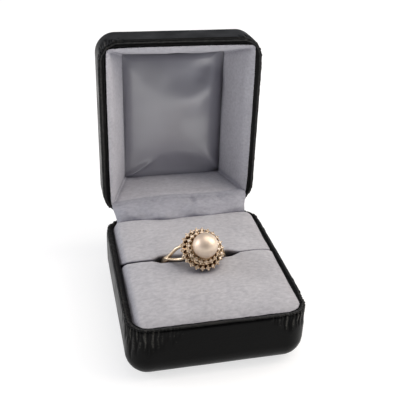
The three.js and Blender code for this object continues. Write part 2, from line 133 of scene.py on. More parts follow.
def joined(parts):
    """Several (points, faces) as one."""
    points, faces, start = [], [], 0
    for some_points, some_faces in parts:
        points.append(some_points)
        faces += [tuple(start + corner for corner in face) for face in some_faces]
        start += len(some_points)
    return np.concatenate(points), faces


def piece(name, shape, material, body, replaces=(), smooth=True):
    """An object made from (points in millimetres, faces), riding on a body of the frame.

    Its body is None for a piece that is attached to no body.
    """
    points, faces = shape
    mesh = bpy.data.meshes.new(name)
    mesh.from_pydata((points * MM).tolist(), [], faces)
    mesh.update()
    mesh.shade_smooth() if smooth else mesh.shade_flat()
    mesh.materials.append(material)
    made = bpy.data.objects.new(name, mesh)
    bpy.context.collection.objects.link(made)
    if body:
        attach(made, body)
    if replaces:
        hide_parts(*replaces)
    print(f"{name}: {len(points)} points, {len(faces)} faces")
    return made


def smooth_step(value, low=0.0, high=1.0):
    share = np.clip((value - low) / (high - low), 0, 1)
    return share * share * (3 - 2 * share)


def bell(distance, width):
    return np.exp(-((distance / width) ** 2))


def rough(points, size, seed=0.0):
    """Smooth noise from -1 to 1 at each point, with lumps about size millimetres across."""
    shift = Vector((seed * 17.3, seed * 5.1, seed * 9.7))
    return np.array([noise.noise(Vector(point) / size + shift) for point in points])


# %% [markdown]
# A rounded rectangle is the outline of nearly every piece of this box. Its points crowd
# together at the corners, because that is where the leatherette is gathered into pleats.

# %% The rounded outline
CORNER_SIGNS = np.array([[1, 1], [-1, 1], [-1, -1], [1, -1]])  # back right, then leftwards round
STRAIGHT_WALLS = 2 * (np.array([BOX_HALF_X, BOX_HALF_Y]) - CORNER_RADIUS)


def around(arc_steps, near_steps=0, far_steps=1, near=8.0):
    """Columns round a rounded rectangle: corners it runs from and to, share of the way, angle.

    Each corner's arc has arc_steps. Each wall has near_steps within near millimetres of either
    end, and far_steps between them.
    """
    columns = []
    for corner in range(4):
        start = corner * math.pi / 2
        for k in range(arc_steps):
            columns.append((corner, corner, 0.0, start + k / arc_steps * math.pi / 2))
        length = STRAIGHT_WALLS[corner % 2]
        reach = near / length if near_steps else 0.0
        shares = [reach * k / near_steps for k in range(near_steps)]
        shares += [reach + (1 - 2 * reach) * k / far_steps for k in range(far_steps)]
        shares += [1 - reach + reach * k / near_steps for k in range(near_steps)]
        for share in shares:
            columns.append((corner, (corner + 1) % 4, share, start + math.pi / 2))
    return np.array(columns)


def outline(columns, half_x, half_y, radius, z, centre_y=0.0, drawn_in=0.0):
    """The outline's points at one height. drawn_in pulls each column towards the inside."""
    start, end, share, angle = columns.T
    reach = np.array([half_x - radius, half_y - radius])
    here = CORNER_SIGNS[start.astype(int)] * reach
    there = CORNER_SIGNS[end.astype(int)] * reach
    flat = here + (there - here) * share[:, None]
    out = np.stack([np.cos(angle), np.sin(angle)], 1)
    flat = flat + out * (radius - np.asarray(drawn_in))[..., None] + (0, centre_y)
    return np.column_stack([flat, np.full(len(columns), z)])


def box_outline(columns, inset, z, drawn_in=0.0):
    radius = max(CORNER_RADIUS - inset, 0.6)
    return outline(columns, BOX_HALF_X - inset, BOX_HALF_Y - inset, radius, z, 0.0, drawn_in)


def from_corner(columns):
    """Signed millimetres from the middle of the nearest corner, and which corner that is."""
    start, end, share, angle = columns.T
    length = STRAIGHT_WALLS[start.astype(int) % 2]
    half_arc = CORNER_RADIUS * math.pi / 4
    on_arc = start == end
    arc = (angle - start * math.pi / 2 - math.pi / 4) * CORNER_RADIUS
    near_start = share * length + half_arc
    near_end = -((1 - share) * length + half_arc)
    wall = np.where(share < 0.5, near_start, near_end)
    corner = np.where(on_arc | (share < 0.5), start, end)
    return np.where(on_arc, arc, wall), corner.astype(int)


def opened(points):
    """Turns points given for the shut lid, with its mouth at height 0, to where it stands."""
    angle = -OPEN_ANGLE
    x, y, z = (np.asarray(points) - (0, HINGE[1], -HALF_MOUTH_GAP)).T
    turned_y = y * math.cos(angle) - z * math.sin(angle)
    turned_z = y * math.sin(angle) + z * math.cos(angle)
    return np.column_stack([x, turned_y, turned_z]) + HINGE


def as_lid(points):
    """Turns a tray of the lid's height upside down, and then opens it."""
    return opened(np.asarray(points) * (1, -1, -1) + (0, 0, LID_HEIGHT))


print("straight walls:", STRAIGHT_WALLS.round(2), "mm between corners of", CORNER_RADIUS, "mm")

# %% [markdown]
# ## Materials
#
# A material here starts from what the real surface is, and how it was made. Colours are
# written as the sRGB hex values that a picker shows, and one function turns them to the
# linear values that the renderer works in.

# %% Colour and node helpers
def colour(hex_code):
    channels = [int(hex_code[k : k + 2], 16) / 255 for k in (1, 3, 5)]
    linear = [c / 12.92 if c <= 0.04045 else ((c + 0.055) / 1.055) ** 2.4 for c in channels]
    return (*linear, 1.0)


def feed(tree, node, inputs):
    """Fills a node's inputs, each with a value or from another node's output."""
    for name, value in inputs.items():
        if isinstance(value, bpy.types.NodeSocket):
            tree.links.new(value, node.inputs[name])
        else:
            node.inputs[name].default_value = value


def add_node(tree, kind, inputs, out=0, stops=(), **settings):
    """Adds a node and gives one of its outputs. A ramp has stops: (position, hex colour)."""
    made = tree.nodes.new("ShaderNode" + kind)
    for name, value in settings.items():
        setattr(made, name, value)
    feed(tree, made, inputs)
    if stops:
        elements = made.color_ramp.elements
        while len(elements) < len(stops):
            elements.new(1.0)
        for element, (position, hex_code) in zip(elements, stops):
            element.position, element.color = position, colour(hex_code)
    return made.outputs[out]


def new_material(name, uniform):
    """A material, its nodes, its shader with uniform values on its sockets, and a place."""
    made = bpy.data.materials.new(name)
    made.use_nodes = True
    tree = made.node_tree
    shader = tree.nodes["Principled BSDF"]
    feed(tree, shader, uniform)
    print("material", name)
    return made, tree, shader, add_node(tree, "TexCoord", {}, "Object")


def scale_of(lump_mm):
    """The noise texture's scale at which its lumps are about so many millimetres across."""
    return 0.5 / (lump_mm * MM)


# %% [markdown]
# Leatherette is cloth or paper under a thin skin of soft plastic, embossed with a leather
# grain. The embossing gives pebbles under half a millimetre across, and the plastic gives a
# broad, oily shine. Pale specks on it are partly scuffs from handling and partly painted
# highlights on the grain, most of all where a fold stands proud. The troughs between the folds
# get a darker painted shade. So each point of a mesh carries how proud it stands, and the
# material reads that value.

# %% Black leatherette
def black_leatherette(name, surface_marks, gloss):
    """Leatherette pale over a share of its surface, partly scuffs and partly painted highlight, with so
    much gloss.
    """
    made, tree, shader, place = new_material(name, {"Specular IOR Level": gloss})
    pebbles = add_node(tree, "TexVoronoi", {"Vector": place, "Scale": 1 / (0.38 * MM)},
                       feature="SMOOTH_F1")
    grain = add_node(tree, "Bump", {"Height": pebbles, "Distance": 0.05 * MM, "Strength": 0.5})
    uneven = add_node(tree, "TexNoise", {"Vector": place, "Scale": scale_of(0.9)})
    relief = add_node(tree, "Bump", {"Height": uneven, "Distance": 0.05 * MM, "Strength": 0.35,
                                     "Normal": grain})
    speckle = add_node(tree, "TexNoise", {"Vector": place, "Scale": scale_of(0.3), "Detail": 4.0,
                                          "Roughness": 0.7})
    proud = add_node(tree, "Attribute", {}, "Fac", attribute_name="proud")
    scuffs_and_highlights = add_node(tree, "Math", {0: proud, 1: 2.0, 2: speckle}, operation="MULTIPLY_ADD")
    # Painted: the pale end of this ramp is partly scuffing and partly painted highlight on proud folds
    # and grain. Its darkest end is painted shade in the troughs between pleats.
    tone = add_node(tree, "ValToRGB", {"Fac": scuffs_and_highlights},
                    stops=[(0.0, "#030303"), (1 - surface_marks, "#070707"), (1.0, "#464541")])
    handled = add_node(tree, "TexNoise", {"Vector": place, "Scale": scale_of(3.0)})
    oily = add_node(tree, "MapRange", {"Value": handled, "From Min": 0.3, "From Max": 0.7,
                                       "To Min": 0.3, "To Max": 0.44})
    feed(tree, shader, {"Base Color": tone, "Roughness": oily, "Normal": relief})
    return made


# The pale specks and fold crests of the trays are partly scuffing and partly painted highlight. The
# crest's larger pale share is the same.
leatherette = black_leatherette("embossed_leatherette", 0.36, 0.07)
rim_leatherette = black_leatherette("folded_leatherette", 0.36, 0.15)
crest_leatherette = black_leatherette("crest_leatherette_scuffs_and_highlight", 0.58, 0.36)

# %% [markdown]
# Jeweller's velvet is a short, dense pile on a knitted back. Light catches the tips of the
# fibres at a grazing angle, which the sheen lobe gives. The pile is brushed from side to side,
# so its grain is drawn out along X, and its tone wanders over a few millimetres. A single
# fibre is too fine to show, so the pile is drawn in tufts of a third of a millimetre. In folds
# and corners the velvet is darkened as painted shade, and the more hidden ambient occlusion
# finds a point, the darker it is.

# %% Grey velvet
def grey_velvet(name, low, high):
    made, tree, shader, place = new_material(name, {
        "Roughness": 0.95, "Specular IOR Level": 0.1, "Sheen Weight": 0.15,
        "Sheen Roughness": 0.5,
    })
    nap = add_node(tree, "TexNoise", {"Vector": place, "Scale": scale_of(4.0), "Detail": 2.0})
    brushed = add_node(tree, "VectorMath", {0: place, 1: (0.5, 1.0, 1.0)}, operation="MULTIPLY")
    tufts = add_node(tree, "TexNoise", {"Vector": brushed, "Scale": scale_of(0.35),
                                        "Detail": 3.0, "Roughness": 0.65})
    wander = add_node(tree, "Math", {0: nap, 1: 0.35, 2: tufts}, operation="MULTIPLY_ADD")
    pile = add_node(tree, "ValToRGB", {"Fac": wander}, stops=[(0.45, low), (0.9, high)])
    hollow = add_node(tree, "AmbientOcclusion", {"Distance": 2.5 * MM}, "AO", samples=6)
    # Painted shade: the velvet is darkened in folds, corners and the slot, as far as ambient occlusion
    # finds it hidden.
    painted_shade = add_node(tree, "ValToRGB", {"Fac": hollow},
                       stops=[(0.1, "#5c5a60"), (0.5, "#cfced5"), (0.85, "#ffffff")])
    both = add_node(tree, "MixRGB", {"Fac": 1.0, "Color1": pile, "Color2": painted_shade},
                    blend_type="MULTIPLY")
    relief = add_node(tree, "Bump", {"Height": tufts, "Distance": 0.07 * MM, "Strength": 0.6})
    feed(tree, shader, {"Base Color": both, "Normal": relief})
    return made


velvet = grey_velvet("short_pile_velvet", "#a6a5aa", "#c0bfc3")
flap_velvet = grey_velvet("flap_velvet", "#a0a0a9", "#b8b8c0")
# The lid's lining is the flap's velvet painted lighter. That stands for the brighter light inside the
# lid.
lining_velvet_painted_lighter = grey_velvet("lid_lining_velvet_painted_lighter", "#b4b3b9", "#cac9cf")

# %% [markdown]
# Satin is woven so that long threads float on its face. They lie side by side like combed
# hair, so the cloth is smoother one way than the other, and its folds shine softly. The real
# threads are a tenth of a millimetre apart, and here they are a quarter, so that they show.

# %% Grey satin
THREAD_SPACING = 0.25


def grey_satin():
    made, tree, shader, place = new_material("woven_satin", {
        "Roughness": 0.46, "IOR": 2.1, "Specular IOR Level": 1.0, "Anisotropic": 0.3,
    })
    threads = add_node(tree, "TexWave", {
        "Vector": place, "Scale": 1 / (THREAD_SPACING * MM) / math.tau, "Distortion": 1.5,
        "Detail": 2.0,
    }, "Fac", bands_direction="X")
    drape = add_node(tree, "TexNoise", {"Vector": place, "Scale": scale_of(7.0)})
    tone = add_node(tree, "ValToRGB", {"Fac": drape}, stops=[(0.3, "#6e6d78"), (0.7, "#7b7a86")])
    relief = add_node(tree, "Bump", {"Height": threads, "Distance": 0.02 * MM, "Strength": 0.3})
    feed(tree, shader, {"Base Color": tone, "Normal": relief})
    return made


satin = grey_satin()

# %% [markdown]
# Cast and polished fourteen carat gold is a pale, slightly pink yellow. It mirrors whatever
# is round it. In its recesses it is drawn brown, partly for the tarnish that a polishing wheel
# can't reach and partly as painted shade. The stones are taken to be diamonds, cut and
# polished: clear, very smooth and bending light strongly. The peach colour they are given is a
# painted reflection of the gold round them. Nacre is thin clear layers over a pale ground, so a
# pearl is part mirror and part milk. The hinge is drawn sheet brass, and its tarnish is what
# tells it from the gold.

# %% Polished gold, clear stones, nacre and brass
def polished_gold():
    made, tree, shader, place = new_material("polished_gold", {"Metallic": 0.9, "Roughness": 0.27})
    recess = add_node(tree, "AmbientOcclusion", {"Distance": 0.9 * MM}, "AO", samples=8)
    # This is partly tarnish and partly painted shade. The gold is drawn brown where ambient occlusion
    # finds it hidden, and pale where it is open.
    tone = add_node(tree, "ValToRGB", {"Fac": recess},
                    stops=[(0.1, "#7a5435"), (0.5, "#a27e59"), (1.0, "#f4dfc0")])
    surface_marks = add_node(tree, "TexNoise", {"Vector": place, "Scale": scale_of(0.5)})
    relief = add_node(tree, "Bump", {"Height": surface_marks, "Distance": 0.02 * MM, "Strength": 0.4})
    feed(tree, shader, {"Base Color": tone, "Normal": relief})
    return made


def cloudy(name, uniform, lump_mm, detail, low, high):
    """A material whose tone drifts between two colours over lumps of a size."""
    made, tree, shader, place = new_material(name, uniform)
    drift = add_node(tree, "TexNoise", {"Vector": place, "Scale": scale_of(lump_mm),
                                        "Detail": detail})
    tone = add_node(tree, "ValToRGB", {"Fac": drift}, stops=[(0.3, low), (0.7, high)])
    feed(tree, shader, {"Base Color": tone})
    return made


gold = polished_gold()
# The stones' peach colour is a painted reflection of the gold settings round them.
stone = new_material("cut_diamond", {
    "Base Color": colour("#f2d3b0"), "Roughness": 0.05, "IOR": 2.417, "Transmission Weight": 0.3,
})[0]
pearl_skin = cloudy("pearl_nacre", {
    "Metallic": 0.55, "Roughness": 0.42, "IOR": 1.53, "Coat Weight": 0.2, "Coat Roughness": 0.24,
}, 3.0, 2.0, "#eacfb9", "#f2e1cb")
brass = cloudy("drawn_brass", {"Metallic": 1.0, "Roughness": 0.32}, 2.0, 4.0, "#8c6a33", "#c6a25c")

# %% [markdown]
# ## The leatherette halves
#
# Each half of the box is a board tray with leatherette stretched over it. At the corners the
# sheet has to gather, and it does so in sharp little pleats that hang from the mouth and
# fade out down the wall. They could be sculpted, but a formula is quicker to change: each
# pleat is a narrow groove with a place, a depth, a length and a slant of its own.

# %% Pleats
dice = np.random.default_rng(11)


def pleats_of(reach, run, fullness):
    """Grooves round one corner: place, depth, length, half width, slant, sway and phase.

    reach is the shortest and the longest pleat, and run is how far they go along the walls on
    the corner's two sides, all in millimetres. fullness makes all of them deeper.
    """
    grooves = []
    place = -run[0]
    while place < run[1]:
        end = run[0] if place < 0 else run[1]
        strength = math.exp(-((abs(place) / end) ** 2) * 2)
        grooves.append((
            place,
            (0.3 + 0.6 * dice.random()) * (0.25 + 0.75 * strength) * fullness,
            dice.uniform(*reach) * (0.4 + 0.6 * strength),
            dice.uniform(0.16, 0.3),
            dice.uniform(-0.07, 0.07),
            dice.uniform(0.04, 0.16),
            dice.uniform(0, math.tau),
        ))
        place += dice.uniform(0.65, 1.35)
    return grooves


def pleat_depth(columns, drop, corners):
    """How far each column is drawn in, so many millimetres below the mouth."""
    along, corner = from_corner(columns)
    depth = np.zeros(len(columns))
    for k, grooves in enumerate(corners):
        mine = corner == k
        for place, deep, length, width, slant, sway, phase in grooves:
            beside = along[mine] - place - slant * drop - sway * math.sin(drop * 1.3 + phase)
            spread = np.where(beside * slant > 0, 0.7, 1.7) * width
            groove = np.exp(-np.abs(beside) / spread)
            depth[mine] += deep * groove * (1 - smooth_step(drop, 0.5 * length, length))
    return np.tanh(depth)


base_corners = [
    pleats_of((3, 6), (6, 6), 0.9),
    pleats_of((3, 6), (6, 6), 0.9),
    pleats_of((7, 11.5), (8, 12), 1.15),  # front left
    pleats_of((5, 8.5), (9, 8), 1.7),  # front right
]
lid_corners = [pleats_of((3, 6.5), (6, 6), 0.9) for _ in range(4)]
print("pleats at the base's corners:", [len(grooves) for grooves in base_corners])

# %% [markdown]
# A tray is one skin. It starts on the underside, goes round the puffed edge and up the wall,
# turns in at the top and goes down inside to the floor. The pleats draw each of its rows in,
# and the columns are closest where the pleats are.

# %% Base and lid in leatherette
WALL_COLUMNS = around(56, 64, 8, 12.0)


def leatherette_tray(height, corners):
    """One half, mouth up, and how proud its points stand of their surroundings.

    The pleated skin goes from the underside up the wall, and then down the wall's inner face.
    """
    columns, turn_in = WALL_COLUMNS, 0.5
    top = height - LIP_HEIGHT - SEAM
    rows = []
    for k in range(9):
        angle = k / 8 * math.pi / 2
        inset = PUFFED_EDGE * (1 - math.sin(angle))
        rows.append((inset, PUFFED_EDGE * (1 - math.cos(angle))))
    rows += [(0.0, z) for z in np.linspace(PUFFED_EDGE, top - turn_in, 22)[1:]]
    for k in range(1, 5):
        angle = k / 4 * math.pi / 2
        rows.append((turn_in * (1 - math.cos(angle)), top - turn_in * (1 - math.sin(angle))))
    depths = [pleat_depth(columns, height - z, corners) for _, z in rows]
    skin_rows = [box_outline(columns, inset, z, deep) for (inset, z), deep in zip(rows, depths)]
    inner = [(WALL, top), (WALL, PUFFED_EDGE)]
    bend = PUFFED_EDGE - WALL
    inner += [
        (PUFFED_EDGE - bend * math.cos(angle), PUFFED_EDGE - bend * math.sin(angle))
        for angle in (0.5, 1.0, math.pi / 2)
    ]
    inner_rows = [box_outline(columns, inset, z) for inset, z in inner]
    points, faces = skin(skin_rows + inner_rows, cap_first=True, cap_last=True)
    points[:, :2] *= 1 + 0.0016 * rough(points, 9, height)[:, None]
    proud = np.zeros(len(points))
    for row, deep in enumerate(depths):
        level = np.mean([np.roll(deep, shift) for shift in range(-5, 6)], axis=0)
        proud[row * len(columns) : (row + 1) * len(columns)] = level - deep
    return points, faces, proud


def store_proud(marked_piece, amount):
    """Stores how far each point stands proud of its surroundings, for the material to paint: pale on
    crests, as scuffing and painted highlight, and darker in troughs, as painted shade.
    """
    stored = marked_piece.data.attributes.new("proud", "FLOAT", "POINT")
    stored.data.foreach_set("value", np.asarray(amount, np.float32))


points, faces, proud = leatherette_tray(BASE_HEIGHT, base_corners)
store_proud(piece("base_leatherette", (points, faces), leatherette, "base",
           ["base_shell"]), proud)
points, faces, proud = leatherette_tray(LID_HEIGHT, lid_corners)
store_proud(piece("lid_leatherette", (as_lid(points), faces), leatherette, "lid",
           ["lid_shell"]), proud)

# %% [markdown]
# The rim is a frame of its own, wrapped in the same leatherette and pressed into the wall.
# Its lip is rolled, so it catches a thin line of light, and the gap under the lip is the dark
# seam that runs round the box. One section carried round the mouth gives both, and a little
# noise along the roll keeps it from looking machined. The faces along the top of the roll are
# also given a paler leatherette, which is partly scuffing and partly a painted highlight line.

# %% The rolled rims
RIM_SECTION = [  # (inset, drop) over the roll, and then down and up the leg inside the wall
    (0.34, 0.36), (0.22, 0.35), (0.14, 0.28), (0.15, 0.19), (0.27, 0.09), (0.48, 0.02),
    (0.72, 0.0), (0.96, 0.06), (1.14, 0.2), (1.34, 0.38), (1.58, 0.46), (1.8, 0.46),
    (1.93, 0.5), (2.0, 0.66), (RIM_WIDTH, 1.6), (RIM_WIDTH, RIM_REACH),
    (RIM_WIDTH - FLANGE, RIM_REACH), (RIM_WIDTH - FLANGE, LIP_HEIGHT),
]
STRAIGHT_X, STRAIGHT_Y = 18, 21  # half the straight stretch of each wall
CREST_ROWS = (5, 7)  # the section's steps along the top of the roll


def rolled_rim(height, corners):
    columns = WALL_COLUMNS
    rows = []
    for inset, drop in RIM_SECTION:
        drawn = 0.6 * pleat_depth(columns, 1.0 + inset, corners) * (drop < 0.9) * (inset < 1.4)
        rows.append(box_outline(columns, inset, height - drop - 0.5 * drawn, drawn))
    points, faces = skin(rows, ring_rows=True)
    crest = smooth_step(points[:, 2], height - 1.2, height - 0.5)
    lumpy = 0.1 * rough(points, 1.3, height) + 0.06 * rough(points, 0.5, height + 1)
    points[:, 2] += crest * (lumpy - 0.12)
    side = crest * (0.09 * rough(points, 1.7, height + 3) + 0.05 * rough(points, 0.6, height + 4))
    points[:, 0] += side * np.sign(points[:, 0]) * (np.abs(points[:, 0]) > STRAIGHT_X)
    points[:, 1] += side * np.sign(points[:, 1]) * (np.abs(points[:, 1]) > STRAIGHT_Y)
    return points, faces


def paint_pale_crest(rim_piece):
    """Gives the faces along the top of the roll the paler crest leatherette, partly scuffing and partly
    a painted highlight line.
    """
    per_row = len(WALL_COLUMNS)
    rim_piece.data.materials.append(crest_leatherette)
    for row in range(*CREST_ROWS):
        for polygon in rim_piece.data.polygons[row * per_row : (row + 1) * per_row]:
            polygon.material_index = 1


rim = rolled_rim(BASE_HEIGHT, base_corners)
paint_pale_crest(piece("base_rolled_rim", rim, rim_leatherette, "base", ["base_rim"]))
points, faces = rolled_rim(LID_HEIGHT, lid_corners)
rim = (as_lid(points), faces)
paint_pale_crest(piece("lid_rolled_rim", rim, rim_leatherette, "lid", ["lid_rim"]))

# %% [markdown]
# ## The ring's place
#
# The ring leans forward in its slot and has slipped a little sideways. It is easiest to build
# upright, so its own frame has the centre of the finger hole at the origin, the head up along
# Z and the finger along Y, and one function leans its points over into the slot. The slot
# leans as the ring does, so the pads need this place too.

# %% Where the ring stands
RING_LEAN, RING_TILT = math.radians(39.3), math.radians(5)
SLOT_X, SLOT_Y, SLOT_Z = -1.0, 1.5, 17.4  # where the band goes in between the pads
RING_SINK = 3.2  # how far the finger hole's centre lies below that, along the lean
ring_turn = Matrix.Rotation(RING_LEAN, 3, "X") @ Matrix.Rotation(RING_TILT, 3, "Y")
ring_centre = np.array([
    SLOT_X,
    SLOT_Y + RING_SINK * math.sin(RING_LEAN),
    SLOT_Z - RING_SINK * math.cos(RING_LEAN),
])


def in_slot(points):
    return np.asarray(points) @ np.array(ring_turn).T + ring_centre


print("the ring's centre is", ring_centre.round(2), "mm")

# %% [markdown]
# ## The velvet pads
#
# Each pad is a block of foam with velvet drawn over it and tucked down its sides. Two
# functions say where the velvet lies: how high its top is at any place, and where the face of
# the slot is at any height. The slot stands open where the ring goes in, and closes beyond it.

# %% Where the velvet lies
OVERHANG = 0.55  # how far the puffed velvet stands out over the foam
pad_low, pad_high = measured("front_pad")
PAD_HALF_X, PAD_FRONT = pad_high.x + OVERHANG, pad_low.y - OVERHANG
PAD_BACK = measured("rear_pad")[1].y + 2.0
PAD_RADIUS = CORNER_RADIUS - (BOX_HALF_X - PAD_HALF_X)
PAD_EDGE, PAD_FOOT = 15.9, 12.0  # heights of the top's edge and of the lowest velvet
PAD_CROWN = 2.35  # how far the middle stands above the edge
LEFT_ROLL, FRONT_ROLL = 1.1, 0.5  # how far the velvet is drawn down at those two edges
RING_PRESS = 0.8  # how far the ring presses it down round the slot
BAND_WIDTH = 1.8
SLOT_CORNER, FRONT_INSET = 1.4, 0.4  # where the slot runs out beside the front pad
SLOT_OPEN_REACH = 9.6  # from the ring's middle to where the slot begins to close
SHUT_RIGHT, SHUT_LEFT = (13.6, 0.12), (12.6, 0.2)  # where it has closed, and its half gap there


def pad_height(x, y, side):
    """Height of the velvet before its edges are rolled down."""
    half_y = (PAD_BACK - PAD_FRONT) / 2
    from_middle = (y - PAD_FRONT - half_y) / half_y
    across = np.clip(1 - np.abs(x / PAD_HALF_X) ** (3.5 + 7 * smooth_step(y, 8, 20)), 0, 1)
    along = np.clip(1 - np.abs(from_middle) ** np.where(from_middle < 0, 3.5, 15), 0, 1)
    press = bell(x - SLOT_X, 9) * bell(y - SLOT_Y, 6)
    left_roll = LEFT_ROLL * (1 - smooth_step(x + PAD_HALF_X, 0.2, 2.2))
    front_roll = FRONT_ROLL * (1 - smooth_step(y - PAD_FRONT, 0, 4))
    height = PAD_EDGE + PAD_CROWN * np.sqrt(across * along)
    height = height - RING_PRESS * press - left_roll - front_roll
    if side < 0:
        bulge = 0.9 + 1.1 * smooth_step(x, -PAD_HALF_X, PAD_HALF_X)
        beside_ring = 1 - bell(x - SLOT_X, 9.5)
        height = height + bulge * beside_ring * np.sqrt(across) * bell(y - SLOT_Y, 5)
    return height


def slot_y(z, side, x):
    """The slot's face on one side (-1 front, 1 back) at a height."""
    open_half = BAND_WIDTH / 2 + GAP
    shut_at, shut_half = SHUT_RIGHT if x > SLOT_X else SHUT_LEFT
    past = max(SLOT_CORNER - (x + PAD_HALF_X - FRONT_INSET), 0) if side < 0 else 0
    rounded = SLOT_CORNER - math.sqrt(max(SLOT_CORNER ** 2 - past ** 2, 0))
    half = open_half - (open_half - shut_half) * smooth_step(abs(x - SLOT_X), SLOT_OPEN_REACH, shut_at)
    return SLOT_Y - (z - SLOT_Z) * math.tan(RING_LEAN) + side * half / math.cos(RING_LEAN) - rounded


print("velvet beside the ring stands", round(float(pad_height(12.0, SLOT_Y, -1)), 1), "mm high in front",
      "and", round(float(pad_height(12.0, SLOT_Y, 1)), 1), "mm behind")

# %% [markdown]
# A cloth simulation could puff the pads, but foam holds such a pad's shape, so each is drawn
# directly. It is a row of profiles, each of which goes from deep in the slot over a rounded
# crest, along the top and down the far side. The lid's padding presses on the foam when the
# box is shut. Each pad here keeps the one shape, in a mesh of its own.

# %% The two pads
PROFILES = 121
CREST_ROLL, TIGHTER = 1.6, 0.5  # size of the crest's curve, and how much less it is further out


def pad(side):
    """The front (-1) or rear (1) pad as profiles across the box, from the slot outwards."""
    crossing = 0.5 + 0.5 * np.sin(np.linspace(-1, 1, PROFILES) * math.pi / 2)
    left = -PAD_HALF_X + (FRONT_INSET if side < 0 else 0)
    rows = []
    for x in left + (PAD_HALF_X - left) * crossing:
        crest_roll = CREST_ROLL - TIGHTER * smooth_step(abs(x - SLOT_X), 10, 16)
        z = 17.0
        for _ in range(12):  # closes in on where the slot's face meets the top
            z = 0.5 * z + 0.5 * float(pad_height(x, slot_y(z, side, x), side))
        crest = np.array([slot_y(z, side, x), z])
        deep = np.array([slot_y(z - crest_roll, side, x), z - crest_roll])
        far = np.array([crest[0] + side * crest_roll, 0])
        far[1] = pad_height(x, far[0], side)
        t = np.linspace(0, 1, 9)[:, None]
        bend = (1 - t) ** 2 * deep + 2 * t * (1 - t) * crest + t ** 2 * far
        edge_y = PAD_FRONT if side < 0 else PAD_BACK
        past = max(abs(x) - (PAD_HALF_X - PAD_RADIUS), 0)
        corner = PAD_RADIUS - math.sqrt(max(PAD_RADIUS ** 2 - past ** 2, 0))
        edge_y = edge_y - side * corner
        outwards = np.sin(np.linspace(0, 1, 46)[1:] * math.pi / 2)
        top_y = far[0] + (edge_y - far[0]) * outwards
        top = np.column_stack([top_y, pad_height(x, top_y, side)])
        start = [slot_y(PAD_FOOT, side, x), PAD_FOOT]
        tuck_y = edge_y - side * OVERHANG
        end = [[tuck_y, PAD_EDGE - 0.4], [tuck_y, PAD_FOOT]]
        profile = np.vstack([start, bend, top, *end])
        rows.append(np.column_stack([np.full(len(profile), x), profile]))
    rows = np.array(rows)
    walls = []
    for edge_row, way in ((rows[0], 1), (rows[-1], -1)):
        for drop_to in (PAD_EDGE - 0.4, PAD_FOOT):
            wall = edge_row.copy()
            wall[:, 0] += way * OVERHANG
            wall[:, 2] = np.minimum(wall[:, 2], drop_to)
            walls.append(wall)
    rows = np.concatenate([[walls[1], walls[0]], rows, [walls[2], walls[3]]])
    points, faces = skin(rows, ring_columns=False)
    top = smooth_step(points[:, 2], 14, 16)
    points[:, 2] += top * (0.3 * rough(points, 8, 3.0) + 0.06 * rough(points, 2.5, 4.0))
    if side < 0:
        faces = [face[::-1] for face in faces]
    return points, faces


front_pad = piece("front_velvet_pad", pad(-1), velvet, "base", ["front_pad"])
rear_pad = piece("rear_velvet_pad", pad(1), velvet, "base", ["rear_pad"])
for soft_pad in (front_pad, rear_pad):
    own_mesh(soft_pad)

# %% [markdown]
# ## Inside the lid
#
# Four velvet-covered strips line the lid's walls. They slope inwards and meet the satin
# panel, and their front edge is a soft roll beside the rim. The face is a blend between two
# rounded rectangles, one at the lid's mouth and one at the panel, puffed between the corners.
# Fine ribs of the knitted back show along the turned edge.

# %% The velvet lining
MOUTH = {"half_x": 21.0, "front": -24.1, "back": 23.4, "radius": 0.5, "depth": 0.2}
FOOT = {"half_x": 15.6, "front": -19.5, "back": 21.0, "radius": 0.5, "depth": 13.2}
LINING_OUTER, LINING_FOOT = 2.3, 2.7  # inset of its outside from the box's wall, and of its foot
RIB_SPACING = 0.65
CREASE = (  # (X, height) along the fold where the lining meets the hinge flap
    (-20.9, 20.6), (-11, 21.6), (-3, 22.0), (3, 21.6), (12.5, 21.5), (20.9, 22.0),
)


def crease_height(x):
    """Height of that fold, smoothed between the points that give it."""
    places, heights = np.array(CREASE).T
    across = np.linspace(-22, 22, 45)
    spread = bell(np.asarray(x)[..., None] - across, 2.2)
    return (spread * np.interp(across, places, heights)).sum(-1) / spread.sum(-1)


def lid_opening(columns, share):
    """The lining's face, at a share of the way from the mouth to the panel."""
    at = {key: MOUTH[key] + (FOOT[key] - MOUTH[key]) * share for key in MOUTH}
    along_strip = np.where(columns[:, 0] == columns[:, 1], 0, columns[:, 2])
    puffed = 1 - np.abs(2 * along_strip - 1) ** 5
    near_mouth = math.sin(math.pi * min(share / 0.3, 1)) ** 2
    swell = puffed * (0.55 * math.sin(math.pi * share) + 0.3 * near_mouth)
    roll = 0.6 * max(1 - share / 0.11, 0) ** 2 * (1 + 0.4 * puffed)
    return outline(
        columns, at["half_x"], (at["back"] - at["front"]) / 2,
        at["radius"], at["depth"], (at["back"] + at["front"]) / 2, swell - roll,
    )


